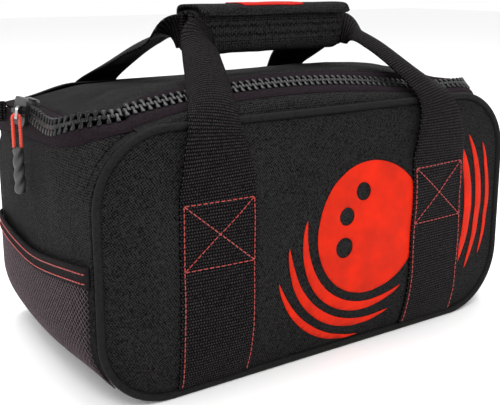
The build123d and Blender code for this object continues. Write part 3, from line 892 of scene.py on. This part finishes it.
def lid_lining():
    """The lining under the lid, just below the lid's own lower side."""

    def at(i, j):
        y = -63 + 151 * j / 30
        x = (2 * i / 80 - 1) * (float(lid_end(y)) - 7)
        found, hit, _, _ = lid.ray_cast(Vector((x, y, 150)) * MM, Vector((0, 0, 1)))
        z = hit.z / MM if found else float(lid_edge_z(x, y)) - 7.6
        return (x, y, z - 0.7), (x, y)

    return thicken(surface("lid_lining_cloth", 81, 31, at, cloth["lining"], flip=True), 0.8)


place(lid_lining(), "lid", "lining", "lid_lining")
fold = lid_fold()
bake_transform(fold)


# ---------------------------------------------------------------- webbing
STRAP_LIFT = 1.3  # from the panel to the middle of the sewn webbing


def ribbon(name, stations, facing):
    """Webbing through stations of (x, y, z, normal x, y, z, width, cup), in mm.
    The cup is how far its edges fall behind its middle. Its sewn part lies on the panel."""
    count, cells = 150, 12
    rows = catmull(stations, count)
    steps = np.linalg.norm(np.diff(rows[:, :3], axis=0), axis=1)

    def at(i, j):
        row, u = rows[i], 2 * j / cells - 1
        along = Vector(rows[min(i + 1, count), :3] - rows[max(i - 1, 0), :3]).normalized()
        normal = Vector(row[3:6])
        normal = (normal - along * normal.dot(along)).normalized()
        over = along.cross(normal)
        point = Vector(row[:3]) + over * (u * row[6] / 2) - normal * (row[7] * u * u)
        free = float(ease(150, 186, point.z))
        point.y = point.y * free + (front_y(point.x, point.z) - STRAP_LIFT) * -facing * (1 - free)
        return point, (u * STRAP_W / 2, steps[:i].sum())

    return thicken(surface(name, count + 1, cells + 1, at, cloth["webbing"], flip=True), 1.7, 0.0)


def leg(side, facing):
    """Stations of one handle leg, from the bottom seam to inside the grip."""
    stations = []
    for z in (5, 20, 40, 62, 85, 108, 130, 147):
        x = side * STRAP_X
        stations.append((x, (front_y(x, z) - STRAP_LIFT) * -facing, z, 0, facing, 0, STRAP_W - 1, 0.0))
    free = [
        (110.5, -127.0, 165, 0.02, -1, 0.0, 60, 1.0),
        (111.0, -124.0, 184, 0.04, -1, 0.1, 52, 1.5),
        (110.0, -119.5, 203, 0.05, -1, 0.35, 42, 1.5),
        (106.0, -110.0, 219, 0.15, -0.8, 0.7, 36, 5.0),
        (98.5, -88.0, 236, 0.3, -0.65, 0.8, 32, 7.0),
        (89.0, -63.0, 251, 0.35, -0.75, 0.6, 29, 7.5),
        (79.0, -42.0, 262, 0.35, -0.9, 0.3, 27, 7.0),
        (69.0, -34.5, 269, 0.1, -1.0, 0.3, 26, 5.0),
    ]
    if side > 0 or facing > 0:  # this leg goes in at the grip's end
        free[-3:] = [
            (92.0, -60.0, 252, 0.35, -0.75, 0.6, 30, 7.5),
            (84.0, -38.0, 261.5, 0.35, -0.9, 0.2, 28, 6.5),
            (71.0, -25.0, 265, 0.1, -1.0, 0.0, 27, 3.0),
        ]
    for x, y, z, nx, ny, nz, width, cup in free:
        if facing > 0:  # the back legs stay flatter
            y = 127.0 - (y + 127.0) / 102.0 * 131.0
            width, cup = width + 12 * float(ease(205, 240, z) * (1 - ease(255, 266, z))), cup * 0.7
        stations.append((side * x, y, z, side * nx, -facing * ny, nz, width, cup))
    return stations


for side, word in ((-1, "left"), (1, "right")):
    for facing_way, end in ((-1, "front"), (1, "back")):
        body = end + "_handle"
        strap = ribbon(f"{end}_webbing_{word}", leg(side, facing_way), facing_way)
        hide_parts(f"{end}_strap_{word}", f"{body}_leg_{word}")
        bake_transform(strap)


# ---------------------------------------------------------------- grip
def grip_section(t, grow):
    """The wrap's outline at share t round it, as (y, z)."""
    angle = tau * t
    half_y, half_z = (WRAP_HIGH[1] - WRAP_LOW[1]) / 2 + grow, (WRAP_HIGH[2] - WRAP_LOW[2]) / 2 + grow
    squareness = 0.42  # 1 would be an ellipse and 0 a rectangle
    c, n = cos(angle), sin(angle)
    y = half_y * abs(c) ** squareness * (1 if c > 0 else -1)
    z = half_z * abs(n) ** squareness * (1 if n > 0 else -1)
    return (WRAP_HIGH[1] + WRAP_LOW[1]) / 2 + y, (WRAP_HIGH[2] + WRAP_LOW[2]) / 2 + z


def grip_wrap():
    """The padded wrap round both handles, pinched a little at its ends."""
    count, around = 60, 64
    centre_y, centre_z = -14, 264

    def at(i, j):
        x, t = WRAP_LOW[0] + (WRAP_HIGH[0] - WRAP_LOW[0]) * i / count, j / around
        close = ease(0, 0.06, i / count) * ease(0, 0.06, 1 - i / count)
        p = Vector((x, *grip_section(t, -1.6 + 2.2 * close)))
        push = noise.noise(p / 24) * 0.9 + noise.noise(p / 9) * 0.25
        p += (p - Vector((x, centre_y, centre_z))).normalized() * push
        return p, (x, t * 120)

    obj = thicken(surface("grip_cover", count + 1, around, at, cloth["wrap"], closed=True), 3.0)
    return obj


place(grip_wrap(), "back_handle", "wrap", "grip_wrap")

FLAP_Z = mm_box("grip_flap")[0][2]


def flap_line(t, lift):
    """The flap's line over the grip, from its rear edge to its front edge."""
    line = [(5.0, FLAP_Z - 7.0), (4.2, FLAP_Z - 2.0), (-1.0, FLAP_Z + 0.1), (-14.0, FLAP_Z + 0.6)]
    line += [(-27.0, FLAP_Z + 0.1), (-32.6, FLAP_Z - 2.0), (-34.6, FLAP_Z - 6.5)]
    y, z = catmull(line, 40)[min(int(round(t * 40)), 40)]
    return y, z + lift


def grip_flap(name, x_low, x_high, t_low, t_high, lift, thickness, material, radius):
    """A rounded piece that follows the flap's line between two shares of it, t_low and t_high."""
    count, across = 60, int(40 * (t_high - t_low))

    def at(i, j):
        x = x_low + (x_high - x_low) * i / count
        near = min(x - x_low, x_high - x)
        cut = 0.0
        if near <= radius:
            cut = (radius - sqrt(max(radius**2 - (radius - near) ** 2, 0))) / 46
        t = t_low + (t_high - t_low) * j / across
        t = max(t_low + cut * (t_low > 0), min(t, t_high - cut))
        y, z = flap_line(t, lift)
        wave = 0.9 * sin(x / 19) * ease(0.7, 1.0, t) + 1.2 * ease(60, 84, x) * ease(0.3, 0.9, t)
        rough = 0.5 * ripple(x / 20, y / 12, 3)
        return (x, y - wave * 0.4, z + wave * 0.5 + rough), (x, t * 52)

    return thicken(surface(name, count + 1, across + 1, at, material), thickness, 1.0)


flap = grip_flap("flap_cover", -74.0, 78.0, 0.0, 1.0, 0.0, 2.2, cloth["wrap"], 5.0)
place(flap, "flap", "wrap", "grip_flap")
label = grip_flap("flap_label", -31.0, 31.0, 0.3, 0.78, 2.4, 0.7, cloth["label"], 2.0)
place(label, "flap", "label", "grip_label")


# ---------------------------------------------------------------- end pockets
POCKET_TOP = mm_box("left_pocket_binding")[1][2]
POCKET_HALF = 104.0


def pocket_top(y):
    """Height of the pocket's free edge: it dips in the middle."""
    return POCKET_TOP + 1.0 - 4.5 * (1 - (y / POCKET_HALF) ** 2) + 9.0 * ease(10, -104, y)


def pocket_point(y, down, lift=0.0):
    """A place on the right pocket: down is the distance in mm below its free edge."""
    edge = max(1 - (y / (POCKET_HALF + 1)) ** 2, 0.0)
    puffed = 8.0 * edge**0.5 * float(1 - ease(62, 98, down)) + 1.4 + lift
    z = float(pocket_top(y)) - down
    if z >= CORNER:
        return np.array([HALF + puffed, y, z])
    angle = (CORNER - z) / CORNER
    reach = CORNER + puffed
    return np.array([HALF - CORNER + reach * cos(angle), y, CORNER - reach * sin(angle)])


def pocket_net():
    """A diamond net of thin yarn, from under the binding down to the corner."""
    pitch, low, high = 2.3, 8.0, 99.0
    columns, rows = int(2 * POCKET_HALF / pitch), int((high - low) / pitch)
    across = [-POCKET_HALF + 2 * POCKET_HALF * j / columns for j in range(columns + 1)]
    down = [low + (high - low) * i / rows for i in range(rows + 1)]
    uvs = [(y, d) for d in down for y in across]
    faces = []
    for i in range(1, rows):
        for j in range(1, columns):
            if (i + j) % 2:
                k = i * (columns + 1) + j
                faces.append((k - columns - 1, k - 1, k + columns + 1, k + 1))
    obj = mesh_piece("right_net", [pocket_point(y, d) for y, d in uvs], faces, uvs, cloth["net"])
    wire = obj.modifiers.new("yarn", "WIREFRAME")
    wire.thickness = 0.85 * MM
    wire.use_even_offset = False
    apply_modifiers(obj)
    smooth(obj)
    return obj


def pocket_band():
    """The folded binding along the pocket's free edge."""
    section = [(0.0, -0.4), (-0.9, 0.4), (0.0, 1.5), (2.0, 1.9), (6.0, 1.5), (11.0, 1.7)]
    section += [(13.5, 1.3), (14.3, 0.4), (13.5, -0.6), (8.0, -0.7), (2.0, -0.8)]
    count = 110

    def at(i, j):
        y = -POCKET_HALF - 1.5 + (2 * POCKET_HALF + 3) * i / count
        down, lift = section[j]
        rough = 0.25 * ripple(y / 9, down / 6, 1)
        return pocket_point(y, down, lift + rough), (y, down + lift)

    binding = cloth["binding"]
    return surface("right_band", count + 1, len(section), at, binding, closed=True, flip=True, caps=True)


def mirrored(obj, name):
    """A copy on the left end."""
    copy = new_object(name, obj.data.copy())
    copy.data.name = name
    points = mesh_points(copy.data)
    points[:, 0] *= -1
    set_vertices(copy, points)
    copy.data.flip_normals()
    return copy


net, band = pocket_net(), pocket_band()
left_net, left_band = mirrored(net, "left_net"), mirrored(band, "left_band")
for obj, word, slot, node in (
    (net, "right", "mesh", "pocket_mesh"),
    (left_net, "left", "mesh", "pocket_mesh"),
    (band, "right", "binding", "pocket_binding"),
    (left_band, "left", "binding", "pocket_binding"),
):
    place(obj, "bag", slot, f"{word}_{node}")


# ---------------------------------------------------------------- stitches
def between(s, steps, rows):
    """The row at distance s along rows whose distances are steps."""
    return np.array([np.interp(s, steps, column) for column in rows.T])


def stitches(name, runs, pitch, length, radius):
    """Short raised stitches along runs of (point, normal) rows."""
    points, faces, uvs = [], [], []
    sides = 6
    rings = [(-0.5, 0.35, -0.3), (-0.36, 0.9, 0.1), (0.0, 1.0, 0.25), (0.36, 0.9, 0.1), (0.5, 0.35, -0.3)]
    for run in runs:
        centre, normals = (np.array([row[k] for row in run], float) for k in (0, 1))
        steps = np.concatenate([[0], np.cumsum(np.linalg.norm(np.diff(centre, axis=0), axis=1))])
        count = max(int(steps[-1] / pitch), 1)
        for k in range(count):
            s = (k + 0.5) * steps[-1] / count
            along = between(s + 0.5, steps, centre) - between(s - 0.5, steps, centre)
            along /= np.linalg.norm(along)
            up = between(s, steps, normals)
            up = up - along * up.dot(along)
            up /= np.linalg.norm(up)
            over = np.cross(along, up)
            base = len(points)
            for place_along, share, rise in rings:
                middle = between(s, steps, centre) + along * place_along * length + up * rise * radius
                for angle in (tau * j / sides for j in range(sides)):
                    points.append(middle + (over * cos(angle) + up * sin(angle)) * radius * share)
                    uvs.append((radius * angle, place_along * length))
            one = grid_faces(len(rings), sides, closed=True, caps=True)
            faces += [tuple(base + i for i in f) for f in one]
    return mesh_piece(name, points, faces, uvs, cloth["thread"])


def strap_runs(side, facing):
    """Both edges of a sewn strap, and the crossed box near its top."""
    x0, half, low, high = side * STRAP_X, STRAP_W / 2 - 3.5, 101.0, 150.0

    def on_strap(x, z):
        return (x, (front_y(x, z) - 2.3) * -facing, z), (0, facing, 0)

    def line(a, b):
        return [on_strap(*(np.array(a) * (1 - t) + np.array(b) * t)) for t in np.linspace(0, 1, 30)]

    left, right = x0 - half, x0 + half
    edges = [line((x, 8), (x, high)) for x in (left, right)]
    box = [line((left, z), (right, z)) for z in (high, low)]
    return edges + box + [line((left, low), (right, high)), line((left, high), (right, low))]


runs = [run for side in (-1, 1) for facing_way in (-1, 1) for run in strap_runs(side, facing_way)]
place(stitches("strap_stitches", runs, 4.4, 3.7, 0.44), "bag", "webbing")

pocket_runs = []
for side in (-1, 1):
    for down in (4.0, 11.0):
        depths = np.linspace(-POCKET_HALF, POCKET_HALF, 60)
        pocket_runs.append([(pocket_point(y, down, 1.9) * (side, 1, 1), (side, 0, 0.1)) for y in depths])
place(stitches("pocket_stitches", pocket_runs, 4.2, 3.4, 0.5), "bag", "binding")


# ---------------------------------------------------------------- print
def circle(x, z, radius, count):
    return [(x + radius * cos(tau * k / count), z + radius * sin(tau * k / count)) for k in range(count)]


def arc_bar(x, z, radius, width, start, end, count=40):
    """A curved bar that tapers to a point at both ends."""
    outer, inner = [], []
    for k in range(count + 1):
        t = k / count
        angle = radians(start + (end - start) * t)
        half = width / 2 * sin(pi * t) ** 0.6 + 0.05
        for line, reach in ((outer, radius + half), (inner, radius - half)):
            line.append((x + reach * cos(angle), z + reach * sin(angle)))
    return outer + inner[::-1]


def inked(point, loops):
    """Whether a point is inside the outline and outside its holes: an odd number of loops."""
    inside = False
    for loop in loops:
        for (ax, az), (bx, bz) in zip(loop, loop[1:] + loop[:1]):
            if (az > point.y) != (bz > point.y) and point.x < ax + (bx - ax) * (point.y - az) / (bz - az):
                inside = not inside
    return inside


FILM_STEP = 4.0  # between the points inside a printed shape, so that it follows the panel


def printed(name, shapes):
    """A film of ink on the front: each shape is (outline, holes)."""
    points, faces, uvs = [], [], []
    for outline, holes in shapes:
        loops = [outline] + holes
        corners = [Vector(p) for loop in loops for p in loop]
        edges, base = [], 0
        for loop in loops:
            edges += [(base + k, base + (k + 1) % len(loop)) for k in range(len(loop))]
            base += len(loop)
        xs, zs = ([c[k] for c in corners] for k in (0, 1))
        inner_x = np.arange(min(xs) + 1.3, max(xs), FILM_STEP)
        inner_z = np.arange(min(zs) + 1.1, max(zs), FILM_STEP)
        corners += [Vector((x, z)) for x in inner_x for z in inner_z]
        flat, _, triangles, _, _, _ = delaunay_2d_cdt(corners, edges, [], 1, 1e-5)
        triangles = [t for t in triangles if inked(sum((flat[i] for i in t), Vector((0, 0))) / len(t), loops)]
        start = len(points)
        points += [(p.x, front_y(p.x, p.y, 0.35), p.y) for p in flat]
        uvs += [(p.x, p.y) for p in flat]
        faces += [tuple(start + i for i in t) for t in triangles]
    obj = mesh_piece(name, points, faces, uvs, cloth["print"])
    bm = bmesh.new()
    bm.from_mesh(obj.data)
    for face in bm.faces:
        face.normal_update()
        if face.normal.y > 0:
            face.normal_flip()
    bm.to_mesh(obj.data)
    bm.free()
    return thicken(obj, 0.25, 1.0)


BALL = (34.0, 106.0)
holes = [circle(7, 120, 7.5, 24), circle(25, 138, 7.5, 24), circle(5, 94, 8.5, 24)]
shapes = [(circle(*BALL, 56, 96), holes)]
for radius, width, start, end in (
    (68, 9, 166, 302),
    (83, 8, 182, 288),
    (97, 6, 198, 268),
    (119, 10, -32, 34),
    (134, 8, -27, 29),
    (148, 6, -20, 22),
):
    shapes.append((arc_bar(*BALL, radius, width, start, end), []))
place(printed("front_art", shapes), "bag", "print", "front_print")


# ---------------------------------------------------------------- zip ends, slider and pull
def end_tab(name, node):
    """A folded loop of tape at an end of the zip."""
    low, high = mm_box(node)
    side = 1 if low[0] > 0 else -1
    inner, outer = (low[0], high[0]) if side > 0 else (high[0], low[0])
    y = (low[1] + high[1]) / 2
    reach = abs(outer - inner)
    path = [(0, -1.9), (reach * 0.5, -1.7), (reach - 2.2, -1.5), (reach - 0.7, 0), (reach - 2.2, 1.5)]
    path += [(reach * 0.5, 1.7), (0, 1.9)]
    rows = catmull(path, 36)

    def at(i, j):
        z = low[2] + (high[2] - low[2]) * j / 8
        return (inner + side * rows[i][0], y + rows[i][1], z), (z, i * 1.0)

    return thicken(surface(name, 37, 9, at, cloth["webbing"], flip=side > 0), 1.4, 0.0)


for word in ("left", "right"):
    place(end_tab("end_tab_" + word, "zip_end_tab_" + word), "bag", "tape", "zip_end_tab_" + word)

TUBE_LOW, TUBE_HIGH = mm_box("pull_grip")
_, CORD_HIGH = mm_box("pull_cord")
TUBE_X, TUBE_Y = ((TUBE_LOW[k] + TUBE_HIGH[k]) / 2 for k in (0, 1))


def pull_grip():
    """The moulded grip: a bar with three ridges that wind round it."""
    count, around = 72, 36
    length = TUBE_HIGH[2] - TUBE_LOW[2]

    def at(i, j):
        t, angle = i / count, tau * j / around
        z = TUBE_LOW[2] + length * t
        cap = min(t, 1 - t) * length
        shrink = 1 - 0.4 * (1 - min(cap / 2.0, 1)) ** 2
        plain = 1 - float(ease(0.0, 3.0, cap))
        ridge = 0.5 * cos(3 * (angle - tau * t * 1.15)) * (1 - plain)
        radius = (3.95 + ridge) * shrink
        return (TUBE_X + radius * cos(angle), TUBE_Y + radius * sin(angle), z), (radius * angle, z)

    moulded = cloth["moulded"]
    return surface("pull_grip_moulded", count + 1, around, at, moulded, closed=True, caps=True)


grip = place(pull_grip(), "pull", "grip", "pull_grip")
RIDGE_TOP, CORD_RADIUS = TUBE_HIGH[2], 1.3
SPREAD = (-0.8693, 0.4943)
LOOP = 2.8
LOOP_TOP = CORD_HIGH[2] - LOOP - CORD_RADIUS


def cord_path():
    """Up one strand from the grip, over the slider's tab, and down the other."""
    line = [(-LOOP, RIDGE_TOP + (LOOP_TOP - RIDGE_TOP) * k / 16) for k in range(17)]
    line += [(-LOOP * cos(pi * k / 16), LOOP_TOP + LOOP * sin(pi * k / 16)) for k in range(1, 16)]
    line += [(LOOP, LOOP_TOP - (LOOP_TOP - RIDGE_TOP) * k / 16) for k in range(17)]
    return [np.array([TUBE_X + u * SPREAD[0], TUBE_Y + u * SPREAD[1], z]) for u, z in line]


def tube(name, path, radius, material, sides=16):
    """A round cord along a path, and the path's length."""
    flat = Vector((-SPREAD[1], SPREAD[0], 0))
    steps = [float(np.linalg.norm(b - a)) for a, b in zip(path, path[1:])]

    def at(i, j):
        along = Vector(path[min(i + 1, len(path) - 1)] - path[max(i - 1, 0)]).normalized()
        over, angle = along.cross(flat), tau * j / sides
        point = Vector(path[i]) + (over * cos(angle) + flat * sin(angle)) * radius
        return point, (radius * angle, sum(steps[:i]))

    return surface(name, len(path), sides, at, material, closed=True, caps=True), sum(steps)


path = cord_path()
cord, cord_length = tube("pull_cord_braid", path, CORD_RADIUS, cloth["cord"])
place(cord, "pull", "cord", "pull_cord")

# ---------------------------------------------------------------- nodes kept from the frame
KEPT = {
    "front_piping": "piping",
    "back_piping": "piping",
    "base_board": "board",
    "lining": "lining",
    "left_end_foam": "foam",
    "right_end_foam": "foam",
    "zip_slider": "slider",
    "slider_bail": "slider",
    "pull_tab": "tab",
    "front_handle_bundle": "webbing",
    "back_handle_bundle": "webbing",
    "loop_strip": "hook",
    "hook_strip": "hook",
}
for node, name in KEPT.items():
    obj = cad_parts[node]
    box_uv(obj)
    coat(obj, cloth[name])
    if name in ("slider", "tab", "webbing", "piping"):
        bevel(obj, 1.6 if name == "webbing" else 0.5, 3)

# ---------------------------------------------------------------- floor, light and camera
bpy.ops.mesh.primitive_plane_add(size=12)
floor = bpy.context.object
floor.name = "floor"
pale = bpy.data.materials.new("pale_floor")
pale.use_nodes = True
pale_inputs = pale.node_tree.nodes["Principled BSDF"].inputs
pale_inputs["Base Color"].default_value = (0.92, 0.92, 0.92, 1)
pale_inputs["Roughness"].default_value = 0.9
floor.data.materials.append(pale)

world = bpy.data.worlds.new("studio")
bpy.context.scene.world = world
world.use_nodes = True
background = world.node_tree.nodes["Background"].inputs
background["Color"].default_value = (1, 1, 1, 1)
background["Strength"].default_value = 1.0


def soft_light(name, place_at, aim_z, size, power):
    """An area light that looks at the bag's middle, at height aim_z in metres."""
    light = bpy.data.lights.new(name, "AREA")
    light.shape = "RECTANGLE"
    light.size, light.size_y = size
    light.energy = power
    obj = new_object(name, light)
    obj.location = place_at
    look = Vector((0, 0, aim_z)) - Vector(place_at)
    obj.rotation_euler = look.to_track_quat("-Z", "Y").to_euler()


soft_light("key", (-0.9, -1.3, 1.8), 0.1, (0.8, 0.8), 26)
soft_light("top", (0.2, 0.4, 1.9), 0.1, (1.4, 0.9), 26)
soft_light("side", (-1.9, 0.5, 0.9), 0.12, (0.7, 1.1), 10)
soft_light("fill", (1.5, -1.4, 0.8), 0.1, (1.0, 1.0), 8)
bpy.context.scene.view_settings.view_transform = "Standard"

camera_data = bpy.data.cameras.new("camera")
camera = new_object("camera", camera_data)
camera.location = (-0.3899, -0.6000, 0.3052)
camera.rotation_euler = Vector((0.5282, 0.8232, -0.2083)).to_track_quat("-Z", "Y").to_euler()
camera_data.sensor_fit = "HORIZONTAL"
camera_data.sensor_width = 36
camera_data.lens = 57.45
camera_data.shift_y = -0.105
camera_data.clip_start = 0.01
bpy.context.scene.camera = camera

bpy.context.view_layer.update()
